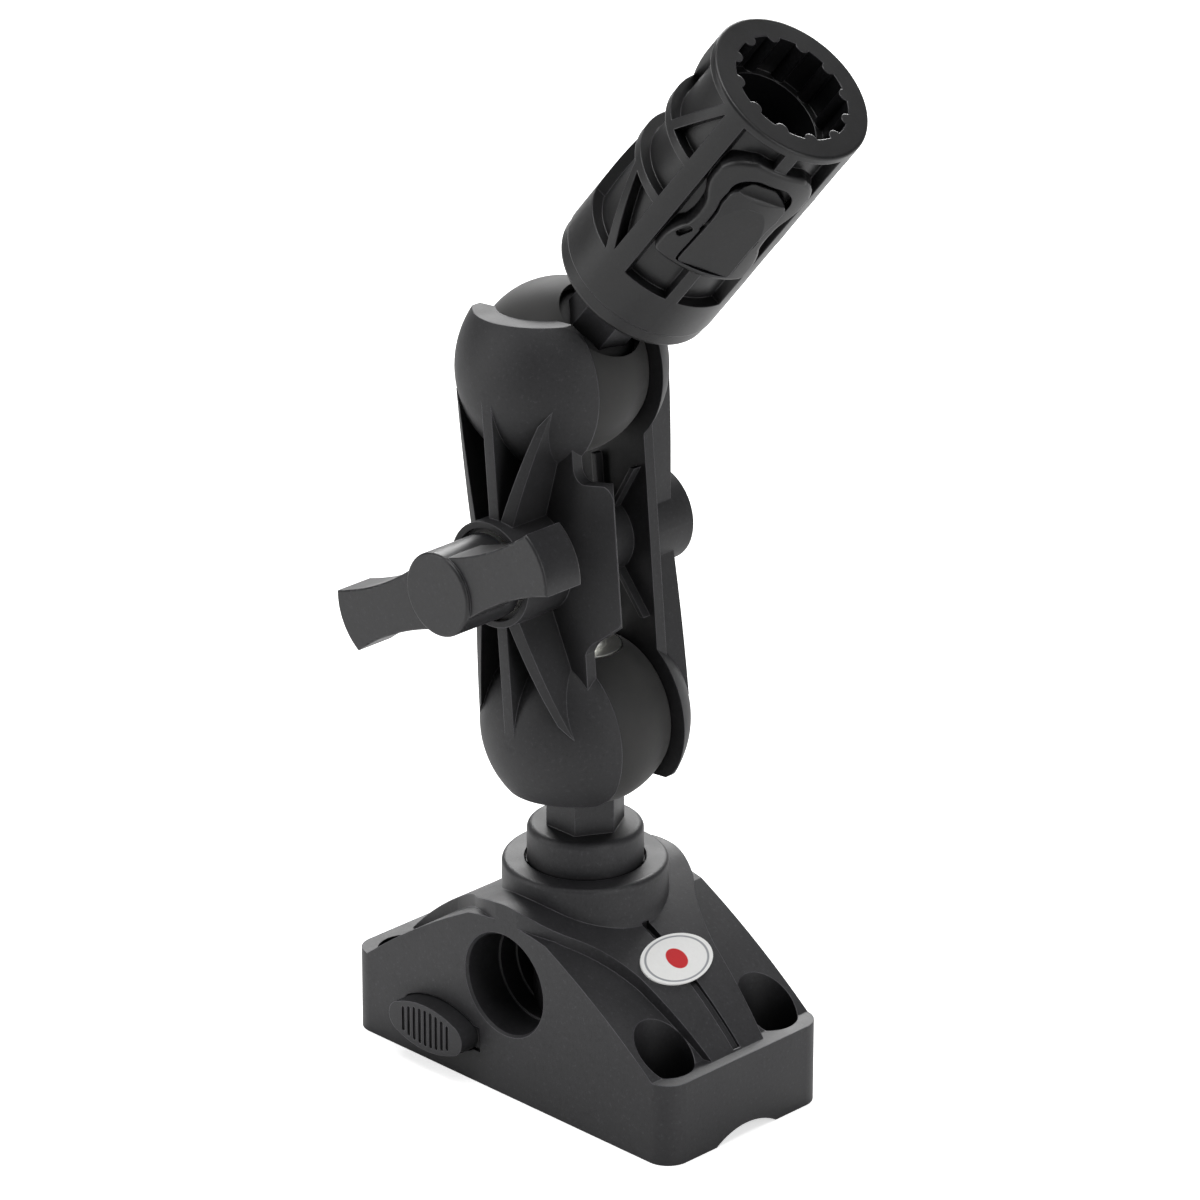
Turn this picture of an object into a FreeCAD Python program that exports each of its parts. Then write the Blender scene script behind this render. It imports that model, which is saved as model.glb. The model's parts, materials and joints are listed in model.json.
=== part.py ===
import FreeCAD, Part
import math
import os

import Sketcher

from FreeCAD import Placement, Rotation, Vector

# Articulated rod holder: a quick-release deck base, a ball post, a two-piece clamping arm with a
# T-knob, and a splined receiver tube with a rocking latch.
# Frame: origin at the centre of the base's underside on the post axis, +Z up, +X along the base's
# long side, -Y towards the side socket, the lock button and the T-knob. Millimetres.

doc = FreeCAD.newDocument("RodHolder")
sheet = doc.addObject("Spreadsheet::Sheet", "Sizes")

DRIVING = {
    # base bracket
    "BaseLength": 108.0, "BaseWidth": 53.0, "BaseCorner": 6.0, "EndHeight": 21.0,
    "PadTop": 44.3, "PlateauTop": 50.4, "BossRadius": 20.0, "BossTop": 55.0,
    "CollarSeatRadius": 14.6, "CollarSeatDepth": 1.6,
    "BoltSpacingLong": 87.5, "BoltSpacingWide": 35.0, "BoltHoleRadius": 3.5,
    "BoltHeadRadius": 7.2, "BoltFloor": 7.0,
    "SideBoreX": -0.8, "SideBoreHeight": 29.2, "SideBoreRadius": 12.8, "SideBoreStep": 0.5,
    "SocketFloor": 4.5, "BadgeHalfWide": 10.9, "BadgeHalfHigh": 6.7, "BadgeThick": 0.5,
    "BadgeX": 30.4, "BadgeZ": 37.7,
    "GrooveWidth": 2.3, "GrooveDepth": 1.2, "NotchRadius": 18.5, "NotchRise": 3.0,
    # splined connection, used in the base and in the receiver tube
    "SplineRoot": 14.5, "SplineLobe": 1.7, "SplineReach": 1.53, "SplineCount": 12.0,
    "SplineDepth": 9.0,
    "ShaftRadius": 12.5, "RunningGap": 0.05, "SlideGap": 0.3,
    # lock bar
    "ButtonX": -23.0, "ButtonZ": 11.5, "ButtonHalfLong": 12.6, "ButtonHalfHigh": 6.0,
    "ButtonThick": 5.6, "ButtonProud": 5.0, "LockTravel": 4.4, "BarHeight": 5.8,
    "BarOuter": 33.0, "BarInner": 9.5, "LockGrooveRadius": 9.3,
    # post and balls
    "CollarRadius": 14.0, "CollarTop": 64.0, "NeckRadius": 9.6, "UpperNeckRadius": 8.3,
    "BallHeight": 91.0, "BallRadius": 20.9, "CoreRadius": 18.4, "NeckOpening": 2.5,
    "WasherRadius": 8.5, "WasherThick": 1.5, "WasherSeat": 17.6, "ScrewRadius": 2.5,
    "ScrewHeadRadius": 4.8, "ScrewHeadHigh": 2.6, "ScrewHeadRoom": 3.0,
    # clamping arm
    "ArmSpan": 87.5, "ArmLean": 5.06, "RimGap": 10.4, "PlateThick": 3.0, "CupRadius": 25.0,
    "CupReach": 15.2, "PlateNeck": 15.6, "PlateWing": 28.2, "PlateStraight": 15.05,
    "PlateEnd": 12.0, "RibThick": 3.1, "RibCrest": 24.87,
    "InnerRibHigh": 2.2, "InnerRibThick": 1.4,
    "SpringBossRadius": 9.6, "SpringBossBore": 7.7, "SpringBossGap": 0.6,
    "FrontBossRadius": 12.9, "FrontBossTop": 27.5, "RearBossRadius": 11.9, "RearBossTop": 28.0,
    "BoltRadius": 4.0, "BoltHeadFlat": 13.0, "BoltHeadHigh": 5.3,
    # T-knob
    "KnobHubRadius": 10.2, "KnobFace": 44.5, "WingFront": 43.5, "WingBack": 32.2,
    "WingLength": 37.4, "WingTip": 7.5, "WingWaist": 6.1, "WingRoot": 7.5, "KnobTurn": 22.4,
    "KnobRounding": 0.6,
    # receiver tube
    "HeadTilt": 38.62, "HeadTurn": 7.15, "HeadRoll": -41.8, "TubeTop": 104.3, "TubeRadius": 19.9,
    "TubeCore": 17.2, "RingBottom": 33.4, "RingTop": 38.0, "BandTop": 49.3, "FlangeLow": 101.8,
    "SocketBottom": 52.0, "SplineEnd": 93.5, "RibWide": 2.4, "BandWide": 5.2,
    "FrameRadius": 20.8, "PivotRadius": 17.6, "PivotHeight": 74.0, "PinRadius": 1.0,
    "HubRadius": 1.9, "LeverGap": 0.4, "ToothBottom": 83.4, "ToothHigh": 3.2, "SpringHeight": 66.5,
}
for row, (alias, value) in enumerate(DRIVING.items(), start=1):
    sheet.set(f"A{row}", alias)
    sheet.set(f"B{row}", str(value))
    sheet.setAlias(f"B{row}", alias)
doc.recompute()

X_AXIS = Vector(1, 0, 0)
Y_AXIS = Vector(0, 1, 0)
Z_AXIS = Vector(0, 0, 1)
pieces = []


def size(alias):
    return float(sheet.get(alias))


# ---------------------------------------------------------------- places of the sub-assemblies


def arm_place():
    return Placement(Vector(0, 0, size("BallHeight")), Rotation(Y_AXIS, -size("ArmLean")))


def upper_ball():
    return arm_place().multVec(Vector(0, 0, size("ArmSpan")))


def head_place():
    turn = Rotation(Z_AXIS, size("HeadTurn"))
    tilt = Rotation(Y_AXIS, size("HeadTilt"))
    roll = Rotation(Z_AXIS, size("HeadRoll"))
    return Placement(upper_ball(), turn.multiply(tilt).multiply(roll))


def arm_middle():
    return size("ArmSpan") / 2


# ---------------------------------------------------------------- sketch and feature helpers


def bind(obj, **sizes):
    for name, formula in sizes.items():
        obj.setExpression(name, formula)
    return obj


def new_body(label, place=None):
    body = doc.addObject("PartDesign::Body", label)
    body.Label = label
    if place:
        body.Placement = place
    pieces.append(body)
    return body


def datum(body, role):
    return next(f for f in body.Origin.OriginFeatures if f.Role == role)


def new_sketch(body, role, offset=0.0, place=None):
    sketch = body.newObject("Sketcher::SketchObject", body.Label + "_sketch")
    sketch.AttachmentSupport = (datum(body, role), [""])
    sketch.MapMode = "FlatFace"
    sketch.AttachmentOffset = place or Placement(Vector(0, 0, offset), Rotation())
    return sketch


def outline(sketch, start, steps):
    """Closed outline: each step is an end point, or a pair of a point on an arc and its end."""
    here = start
    for step in steps:
        curved = isinstance(step[0], tuple)
        end = step[1] if curved else step
        a = Vector(*here, 0)
        b = Vector(*end, 0)
        if curved:
            sketch.addGeometry(Part.Arc(a, Vector(*step[0], 0), b))
        else:
            sketch.addGeometry(Part.LineSegment(a, b))
        here = end
    if math.dist(here, start) > 1e-6:
        sketch.addGeometry(Part.LineSegment(Vector(*here, 0), Vector(*start, 0)))


def circle(sketch, x, y, radius):
    index = sketch.addGeometry(Part.Circle(Vector(x, y, 0), Z_AXIS, 1.0))
    sketch.addConstraint(Sketcher.Constraint("Radius", index, 1.0))
    sketch.setExpression(f"Constraints[{sketch.ConstraintCount - 1}]", radius)


def feature(body, kind, sketch, **formulas):
    made = body.newObject("PartDesign::" + kind, body.Label + "_" + kind.lower())
    made.Profile = sketch
    bind(made, **formulas)
    return made


def pad(body, sketch, length, reverse=False, midplane=False):
    made = feature(body, "Pad", sketch, Length=length)
    made.Reversed = reverse
    made.Midplane = midplane
    doc.recompute()
    return made


def checked_cut(body, cut):
    before = cut.BaseFeature.Shape.Volume
    doc.recompute()
    if not cut.Shape.Volume < before - 1e-3:
        raise RuntimeError(body.Label + ": a cut removed nothing")
    return cut


def pocket(body, sketch, length=None, reverse=False, midplane=False):
    made = feature(body, "Pocket", sketch, **({"Length": length} if length else {}))
    if not length:
        made.Type = "ThroughAll"
    made.Reversed = reverse
    made.Midplane = midplane
    return checked_cut(body, made)


def revolve(body, sketch):
    made = feature(body, "Revolution", sketch)
    made.ReferenceAxis = (sketch, ["V_Axis"])
    made.Angle = 360
    doc.recompute()
    return made


def groove(body, sketch):
    made = feature(body, "Groove", sketch)
    made.ReferenceAxis = (sketch, ["V_Axis"])
    made.Angle = 360
    return checked_cut(body, made)


def fillet_edges(body, chosen, radius):
    base = body.Tip
    names = [f"Edge{i}" for i, e in enumerate(base.Shape.Edges, start=1) if chosen(e)]
    made = body.newObject("PartDesign::Fillet", body.Label + "_fillet")
    made.Base = (base, names)
    bind(made, Radius=radius)
    doc.recompute()
    return made


def spline_outline(sketch, gap=0.0):
    """A round outline with evenly spaced half-round lobes that reach in from the root circle."""
    root, lobe, reach = size("SplineRoot") - gap, size("SplineLobe") + gap, size("SplineReach")
    count = int(size("SplineCount"))
    centre = root + lobe - reach
    half = math.acos((root**2 + centre**2 - lobe**2) / (2 * root * centre))

    def at(angle, radius):
        return (radius * math.cos(angle), radius * math.sin(angle))

    steps = []
    for i in range(count):
        middle = 2 * math.pi * i / count
        following = middle + math.pi / count
        steps.append((at(middle, centre - lobe), at(middle + half, root)))
        steps.append((at(following, root), at(middle + 2 * math.pi / count - half, root)))
    outline(sketch, at(-half, root), steps)


def hexagon(radius):
    corners = [math.radians(60 * i) for i in range(6)]
    return [(radius * math.cos(a), radius * math.sin(a)) for a in corners]


# ---------------------------------------------------------------- Part-workbench helpers


def primitive(kind, place=None, **formulas):
    made = doc.addObject("Part::" + kind, kind)
    bind(made, **formulas)
    made.Placement = place or Placement()
    return made


def local(x, y, z, rotation=None):
    return Placement(Vector(x, y, z), rotation or Rotation())


def combine(kind, first, second):
    made = doc.addObject("Part::" + kind, kind)
    made.Base = first
    made.Tool = second
    return made


def fuse_all(shapes):
    made = doc.addObject("Part::MultiFuse", "Joined")
    made.Shapes = shapes
    return made


def cut_all(base, tools):
    return combine("Cut", base, fuse_all(tools) if len(tools) > 1 else tools[0])


def extruded(label, role_place, start, steps, low, high):
    """A prism of a closed outline, drawn in its own plane and placed by role_place."""
    sketch = doc.addObject("Sketcher::SketchObject", label + "_outline")
    outline(sketch, start, steps)
    sketch.Placement = role_place.multiply(local(0, 0, low))
    prism = doc.addObject("Part::Extrusion", label)
    prism.Base = sketch
    prism.DirMode = "Normal"
    prism.LengthFwd = high - low
    prism.Solid = True
    return prism


def finish_piece(obj, label, place):
    obj.Label = label
    obj.Placement = place
    pieces.append(obj)
    return obj


# ---------------------------------------------------------------- base


def plateau_profile(lift=0.0):
    """Points of the plateau's top line, seen from the side: ends, haunches and crown."""
    foot = (size("BaseLength") / 2 - 3, size("EndHeight") + lift)
    haunch = (37.4, 32.9 + lift)
    shoulder = (10.0, size("PlateauTop") - 2.1 + lift)
    crown = (0.0, size("PlateauTop") + lift)
    return foot, haunch, shoulder, crown


def mirror_x(point):
    return (-point[0], point[1])


def make_base_bracket():
    body = new_body("base_bracket")
    half_long = size("BaseLength") / 2
    half_wide = size("BaseWidth") / 2
    end = size("EndHeight")
    ledge, mid, top = (48.5, end), (33.2, 32.3), (13.0, size("PadTop"))

    # corner pads: the side profile carried across the full width
    side = new_sketch(body, "XZ_Plane")
    outline(side, (-half_long, 0), [
        (half_long, 0), (half_long, end), ledge, (mid, top), ((0, 45.8), mirror_x(top)),
        (mirror_x(mid), mirror_x(ledge)), (-half_long, end),
    ])
    pad(body, side, "Sizes.BaseWidth", midplane=True)

    def upright_corner(edge):
        a, b = edge.Vertexes[0].Point, edge.Vertexes[-1].Point
        return (abs(a.x - b.x) < 0.01 and abs(a.y - b.y) < 0.01
                and abs(abs(a.x) - half_long) < 0.01)

    fillet_edges(body, upright_corner, "Sizes.BaseCorner")

    # raised plateau: a waisted plan that narrows to both ends, then cut to its own profile
    plan = new_sketch(body, "XY_Plane", 15.0)
    tip, narrow, waist = (half_long - 3, 8.7), (31.0, 12.6), (22.7, 16.1)
    bend, swell, front = (15.5, 21.4), (10.0, half_wide - 1.75), (3.5, half_wide)

    def at(point, x_side, y_side):
        return (x_side * point[0], y_side * point[1])

    steps = []
    for x_side, y_side in ((1, 1), (-1, 1), (-1, -1), (1, -1)):
        tip_here, narrow_here, waist_here, bend_here, swell_here, front_here = (
            at(point, x_side, y_side) for point in (tip, narrow, waist, bend, swell, front))
        if x_side == y_side:
            steps += [tip_here, narrow_here, (waist_here, bend_here), (swell_here, front_here)]
        else:
            steps += [front_here, (swell_here, bend_here), (waist_here, narrow_here), tip_here]
    outline(plan, tip, steps[1:])
    pad(body, plan, "Sizes.BossTop - 10")
    foot, haunch, shoulder, crown = plateau_profile()
    above = new_sketch(body, "XZ_Plane")
    outline(above, foot, [
        (haunch, shoulder), (crown, mirror_x(shoulder)), (mirror_x(haunch), mirror_x(foot)),
        (-half_long - 2, end), (-half_long - 2, 70), (half_long + 2, 70), (half_long + 2, end),
    ])
    pocket(body, above, "2 * Sizes.BaseWidth", midplane=True)

    # round boss for the post
    boss = new_sketch(body, "XZ_Plane")
    radius, boss_top = size("BossRadius"), size("BossTop")
    outline(boss, (0, 20), [
        (radius + 0.9, 20), (radius + 0.9, 42), ((radius + 0.2, 44), (radius, 47)),
        (radius, boss_top - 1.2), ((radius - 0.35, boss_top - 0.35), (radius - 1.2, boss_top)),
        (0, boss_top),
    ])
    revolve(body, boss)
    cut_sockets(body)
    cut_bolt_holes(body)
    cut_lock_channel(body)
    cut_base_details(body)
    return body


def cut_sockets(body):
    splines = new_sketch(body, "XY_Plane", size("BossTop"))
    spline_outline(splines)
    pocket(body, splines, "Sizes.SplineDepth")
    seat = new_sketch(body, "XY_Plane", size("BossTop"))
    circle(seat, 0, 0, "Sizes.CollarSeatRadius")
    pocket(body, seat, "Sizes.CollarSeatDepth")
    bore = new_sketch(body, "XY_Plane", size("BossTop"))
    circle(bore, 0, 0, "Sizes.ShaftRadius + Sizes.RunningGap")
    pocket(body, bore, "Sizes.BossTop - Sizes.SocketFloor")

    # side socket: a small bevelled mouth, then two small steps on the way in
    axis = local(size("SideBoreX"), 0, size("SideBoreHeight"))
    side = new_sketch(body, "XY_Plane", place=axis)
    face, radius, step = -size("BaseWidth") / 2, size("SideBoreRadius"), size("SideBoreStep")
    first, second = face + 10.8, face + 16.0
    outline(side, (0, 0), [
        (radius - 2 * step, 0), (radius - 2 * step, second), (radius - step, second),
        (radius - step, first), (radius, first), (radius, face + 0.7),
        (radius + 0.5, face + 0.1), (radius + 0.5, face - 1), (0, face - 1),
    ])
    groove(body, side)


def cut_bolt_holes(body):
    places = [(x * size("BoltSpacingLong") / 2, y * size("BoltSpacingWide") / 2)
              for x in (-1, 1) for y in (-1, 1)]
    through = new_sketch(body, "XY_Plane")
    heads = new_sketch(body, "XY_Plane", size("BoltFloor"))
    for x, y in places:
        circle(through, x, y, "Sizes.BoltHoleRadius")
        circle(heads, x, y, "Sizes.BoltHeadRadius")
    pocket(body, through, reverse=True)
    pocket(body, heads, reverse=True)


def oval(sketch, x, y, half_long, half_high):
    """A pointed oval of two pairs of arcs."""
    shoulder_x, shoulder_y = half_long * 0.76, half_high * 0.66
    outline(sketch, (x - shoulder_x, y - shoulder_y), [
        ((x, y - half_high), (x + shoulder_x, y - shoulder_y)),
        ((x + half_long, y), (x + shoulder_x, y + shoulder_y)),
        ((x, y + half_high), (x - shoulder_x, y + shoulder_y)),
        ((x - half_long, y), (x - shoulder_x, y - shoulder_y)),
    ])


def cut_lock_channel(body):
    half_wide = size("BaseWidth") / 2
    gap = size("SlideGap")
    mouth = new_sketch(body, "XZ_Plane", half_wide)
    oval(mouth, size("ButtonX"), size("ButtonZ"), size("ButtonHalfLong") + gap,
         size("ButtonHalfHigh") + gap)
    pocket(body, mouth, "Sizes.LockTravel + 0.8")
    channel = new_sketch(body, "XZ_Plane", half_wide)
    low = size("ButtonZ") - size("BarHeight") / 2 - gap
    high = size("ButtonZ") + size("BarHeight") / 2 + gap
    left, right = -size("BarOuter") - gap, -size("BarInner") + gap
    outline(channel, (left, low), [(right, low), (right, high), (left, high)])
    pocket(body, channel)


def cut_base_details(body):
    # arch notch under both ends
    radius, rise = size("NotchRadius"), size("NotchRise")
    half = math.sqrt(radius**2 - (radius - rise) ** 2)
    for sign in (1, -1):
        arch = new_sketch(body, "YZ_Plane", sign * (size("BaseLength") / 2 - 6))
        outline(arch, (-half, -1), [(-half, 0), ((0, rise), (half, 0)), (half, -1)])
        pocket(body, arch, "10", reverse=sign > 0)

    # groove down the middle of the plateau, from the foot of the boss to the ledge
    foot, haunch, shoulder, _ = plateau_profile(-size("GrooveDepth"))
    run = (shoulder[1] - haunch[1]) / (haunch[0] - shoulder[0])
    start_x = size("BossRadius") - 0.6
    groove_start = (start_x, haunch[1] + run * (haunch[0] - start_x))
    for sign in (1, -1):
        line = new_sketch(body, "XZ_Plane")
        low = (sign * (foot[0] - 0.5), foot[1] + 0.5)
        bend = (sign * haunch[0], haunch[1])
        high = (sign * groove_start[0], groove_start[1])
        above = [(x, z + 2.6) for x, z in (high, bend, low)]
        outline(line, low, [(bend, high), above[0], (above[1], above[2])])
        pocket(body, line, "Sizes.GrooveWidth", midplane=True)

    # core taken out of the underside where nothing else passes
    core = new_sketch(body, "XY_Plane")
    outline(core, (17, -20), [(32, -20), (32, 20), (17, 20)])
    pocket(body, core, "14", reverse=True)


def make_badge():
    """A thin plain oval plate that follows the plateau's slope."""
    body = new_body("badge")
    _, haunch, shoulder, _ = plateau_profile()
    slope = math.degrees(math.atan2(shoulder[1] - haunch[1], haunch[0] - shoulder[0]))
    middle = Placement(Vector(size("BadgeX"), 0, size("BadgeZ")), Rotation(Y_AXIS, slope))
    oval_face = new_sketch(body, "XY_Plane", place=middle.multiply(local(0, 0, -4)))
    half_wide, half_high = size("BadgeHalfWide"), size("BadgeHalfHigh")
    ring = Part.Ellipse(Vector(), half_wide, half_high)
    ring.rotate(Placement(Vector(), Rotation(Z_AXIS, 90)))
    oval_face.addGeometry(ring)
    pad(body, oval_face, "8")
    for lift, reach in ((0.02, -40), (0.02 + size("BadgeThick"), 90)):
        foot, haunch, shoulder, _ = plateau_profile(lift)
        trim = new_sketch(body, "XZ_Plane")
        outline(trim, foot, [(haunch, shoulder), (shoulder[0], reach), (foot[0], reach)])
        pocket(body, trim, "60", midplane=True)
    return body


# ---------------------------------------------------------------- lock bar


def make_lock_slide():
    body = new_body("lock_slide")
    face = size("BaseWidth") / 2 + size("ButtonProud")
    button = new_sketch(body, "XZ_Plane", face)
    oval(button, size("ButtonX"), size("ButtonZ"), size("ButtonHalfLong"), size("ButtonHalfHigh"))
    pad(body, button, "Sizes.ButtonThick", reverse=True)

    # thumb ribs: upright grooves in the face
    grooves = new_sketch(body, "XZ_Plane", face)
    count, pitch, half_wide = 9, 1.9, 0.5
    for i in range(count):
        x = size("ButtonX") + (i - (count - 1) / 2) * pitch
        reach = 4.3 - 0.16 * abs(i - (count - 1) / 2) ** 2 * 0.6
        low, high = size("ButtonZ") - reach, size("ButtonZ") + reach
        outline(grooves, (x - half_wide, low), [
            ((x, low - half_wide), (x + half_wide, low)), (x + half_wide, high),
            ((x, high + half_wide), (x - half_wide, high)),
        ])
    pocket(body, grooves, "0.6")

    # flat bar through the bracket, with a round notch that clears the post's shaft
    bar = new_sketch(body, "XZ_Plane", face - size("ButtonThick"))
    low = size("ButtonZ") - size("BarHeight") / 2
    high = size("ButtonZ") + size("BarHeight") / 2
    left, right = -size("BarOuter"), -size("BarInner")
    outline(bar, (left, low), [(right, low), (right, high), (left, high)])
    pad(body, bar, "Sizes.BaseWidth + Sizes.ButtonProud - Sizes.ButtonThick - 0.4", reverse=True)
    notch = new_sketch(body, "XY_Plane", high + 1)
    circle(notch, 0, 0, "Sizes.ShaftRadius + 0.5")
    pocket(body, notch, "Sizes.BarHeight + 2")
    return body


# ---------------------------------------------------------------- posts and balls


def make_lower_post():
    body = new_body("lower_post")
    shaft, waist = size("ShaftRadius"), size("LockGrooveRadius")
    bottom = size("SocketFloor") + 0.2
    groove_low = size("ButtonZ") - 3.5
    groove_high = size("ButtonZ") + 3.5
    shoulder = size("BossTop") - size("SplineDepth") + 0.05
    ring_low, ring_top, ring = size("BossTop") - 1.0, size("CollarTop"), size("CollarRadius")
    turned = new_sketch(body, "XZ_Plane")
    outline(turned, (0, bottom), [
        (shaft - 0.8, bottom), (shaft, bottom + 0.8), (shaft, groove_low), (waist, groove_low),
        (waist, groove_high), (shaft, groove_high), (shaft, shoulder), (shaft, ring_low),
        (ring - 0.6, ring_low), (ring, ring_low + 0.6), (ring, ring_top - 1.6),
        ((ring - 0.5, ring_top - 0.5), (ring - 1.6, ring_top)), (0, ring_top),
    ])
    revolve(body, turned)
    splines = new_sketch(body, "XY_Plane", shoulder)
    spline_outline(splines, size("SlideGap"))
    pad(body, splines, f"{ring_low - shoulder}")
    neck = new_sketch(body, "XY_Plane", ring_top)
    corners = hexagon(size("NeckRadius"))
    outline(neck, corners[0], corners[1:])
    pad(body, neck, "Sizes.BallHeight - Sizes.CollarTop + 5")
    screw_hole = new_sketch(body, "XY_Plane", size("BallHeight") + 5)
    circle(screw_hole, 0, 0, "Sizes.ScrewRadius")
    pocket(body, screw_hole, "24")
    return body


def make_ball_core(label, place, neck_radius):
    """Ball core: washer seat on one side, hexagonal socket for the neck on the other."""
    ball = primitive("Sphere", Radius="Sizes.CoreRadius")
    seat = primitive("Cylinder", Radius="Sizes.WasherRadius", Height="Sizes.WasherSeat")
    above = primitive("Cylinder", local(0, 0, size("WasherSeat")), Radius="Sizes.BallRadius",
                      Height="Sizes.BallRadius")
    hole = primitive("Cylinder", Radius="Sizes.ScrewRadius + 0.3", Height="Sizes.BallRadius")
    corners = hexagon(neck_radius + 0.05)
    socket = extruded(label + "_socket", Placement(), corners[0], corners[1:], -30, 5.05)
    core = cut_all(fuse_all([ball, seat]), [above, hole, socket])
    return finish_piece(core, label, place)


def make_ball_cover(label, place, neck_radius):
    """Rubber skin over a ball core, open round the washer and round the neck."""
    skin = primitive("Sphere", Radius="Sizes.BallRadius")
    inside = primitive("Sphere", Radius="Sizes.CoreRadius + Sizes.RunningGap")
    top = primitive("Cylinder", Radius="Sizes.WasherRadius + 0.4", Height="30")
    neck = primitive("Cylinder", local(0, 0, -30), Height="30",
                     Radius=f"{neck_radius} + Sizes.NeckOpening")
    return finish_piece(cut_all(skin, [inside, top, neck]), label, place)


def make_ball_washer(label, place):
    disc = primitive("Cylinder", Radius="Sizes.WasherRadius", Height="Sizes.WasherThick")
    hole = primitive("Cylinder", local(0, 0, -1), Radius="Sizes.ScrewRadius + 0.3", Height="9")
    washer = cut_all(disc, [hole])
    return finish_piece(washer, label, place.multiply(local(0, 0, size("WasherSeat"))))


def pan_head_screw(label, place, length):
    """Pan-head screw standing on z = 0, with its shank below and a hexagonal drive recess."""
    body = new_body(label, place)
    head_radius, head_high = size("ScrewHeadRadius"), size("ScrewHeadHigh")
    shank = size("ScrewRadius") - 0.02
    turned = new_sketch(body, "XZ_Plane")
    outline(turned, (0, -length), [
        (shank - 0.8, -length), (shank, -length + 0.8), (shank, 0), (head_radius, 0),
        ((head_radius * 0.93, head_high * 0.7), (head_radius * 0.6, head_high)), (0, head_high),
    ])
    revolve(body, turned)
    recess = new_sketch(body, "XY_Plane", head_high)
    corners = hexagon(size("ScrewRadius") * 0.85)
    outline(recess, corners[0], corners[1:])
    pocket(body, recess, f"{head_high * 0.6}")
    return body


def make_ball_stack(prefix, place, neck_radius):
    make_ball_core(prefix + "_ball_core", place, neck_radius)
    make_ball_cover(prefix + "_ball_cover", place, neck_radius)
    make_ball_washer(prefix + "_ball_washer", place)
    seat = place.multiply(local(0, 0, size("WasherSeat") + size("WasherThick")))
    pan_head_screw(prefix + "_ball_screw", seat, 26)


# ---------------------------------------------------------------- clamping arm


def arm_plate_outline(sketch, wing):
    """Plate with one straight edge; the other swells into a wing between two shoulders."""
    neck, reach, straight = size("PlateNeck"), size("PlateWing"), size("PlateStraight")
    low, high = size("PlateEnd"), size("ArmSpan") - size("PlateEnd")
    steps = [
        (neck, low), (neck, 23.0), ((neck + 1.9, 25.6), (neck + 4.9, 27.6)), (reach - 1.6, 31.7),
        ((reach - 0.5, 32.6), (reach, 34.0)), (reach, 61.5),
        ((reach - 0.8, 65.1), (reach - 2.8, 66.3)), (neck + 3.0, 65.4),
        ((neck + 0.9, 66.4), (neck, 68.5)), (neck, high), (-straight, high),
    ]
    start = (-straight, low)
    if wing < 0:
        start = mirror_x(start)
        steps = [tuple(map(mirror_x, s)) if isinstance(s[0], tuple) else mirror_x(s) for s in steps]
    outline(sketch, start, steps)


def straight_rib(sketch, x, low, high, thick):
    outline(sketch, (x - thick / 2, low), [
        (x + thick / 2, low), (x + thick / 2, high), (x - thick / 2, high),
    ])


def slanted_rib(sketch, side, away, root):
    """A rib from the middle boss to a cup; its end is cut slantwise, so that it ends in a point."""
    middle = arm_middle()
    end_inside, end_outside = (12.9, middle - 7.0), (15.9, middle - 3.4)
    corners = [(side * x, middle + away * z) for x, z in (*root, end_outside, end_inside)]
    outline(sketch, corners[0], corners[1:])


def inner_brace(sketch, side, away):
    """A thin slanted rib on the inner face, from the spring's boss towards a cup."""
    middle, thick = arm_middle(), size("InnerRibThick")
    corners = [(side * x, middle + away * z)
               for x, z in ((4, 7), (4 + thick, 7), (12 + thick, 18.5), (12, 18.5))]
    outline(sketch, corners[0], corners[1:])


def bevel_wing(body, side, wing):
    """Tapers the wing's long edge from the inside, down to a thin lip on the outer face."""
    reach, lip = size("PlateWing"), 0.2
    outer = size("RimGap") + size("PlateThick") - lip
    beyond, deep = 1.0, size("PlateThick") + 1.0
    bevel = new_sketch(body, "XY_Plane", size("PlateEnd"))
    outline(bevel, (wing * (reach + beyond), side * (outer + beyond)), [
        (wing * (reach - deep), side * (outer - deep)), (wing * (reach + beyond), side * (outer - deep)),
    ])
    pocket(body, bevel, "Sizes.ArmSpan - 2 * Sizes.PlateEnd", reverse=True)


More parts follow.
